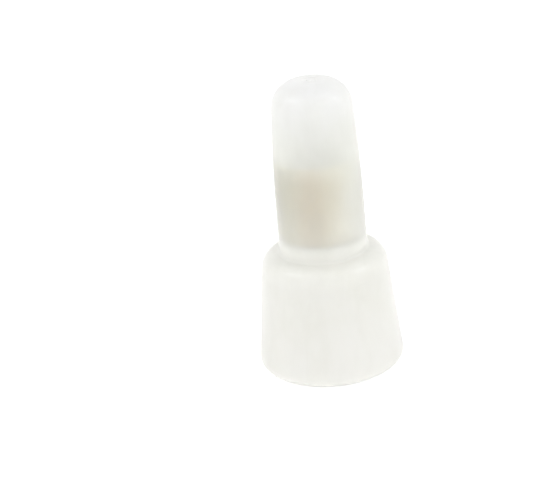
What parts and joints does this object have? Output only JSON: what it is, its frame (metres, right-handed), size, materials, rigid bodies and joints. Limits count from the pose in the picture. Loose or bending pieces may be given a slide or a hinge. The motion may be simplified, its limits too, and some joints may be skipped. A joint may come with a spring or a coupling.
{
  "type": "closed-end crimp connector",
  "caption": "Closed-end crimp connector: a translucent nylon cap with a flared skirt and a narrow domed tube that holds a plain metal crimp sleeve for joining stripped wires.",
  "frame": {"origin": "centre of the skirt's open rim, in the plane the rim stands on", "axes": "+Z along the axis, from the open rim to the domed closed end"},
  "size_m": [0.0126, 0.0126, 0.0255],
  "materials": {
    "natural_nylon": "satin",
    "sleeve_metal": "satin"
  },
  "bodies": {
    "root": {"insulating_cap": "natural_nylon", "crimp_sleeve": "sleeve_metal"}
  },
  "joints": []
}
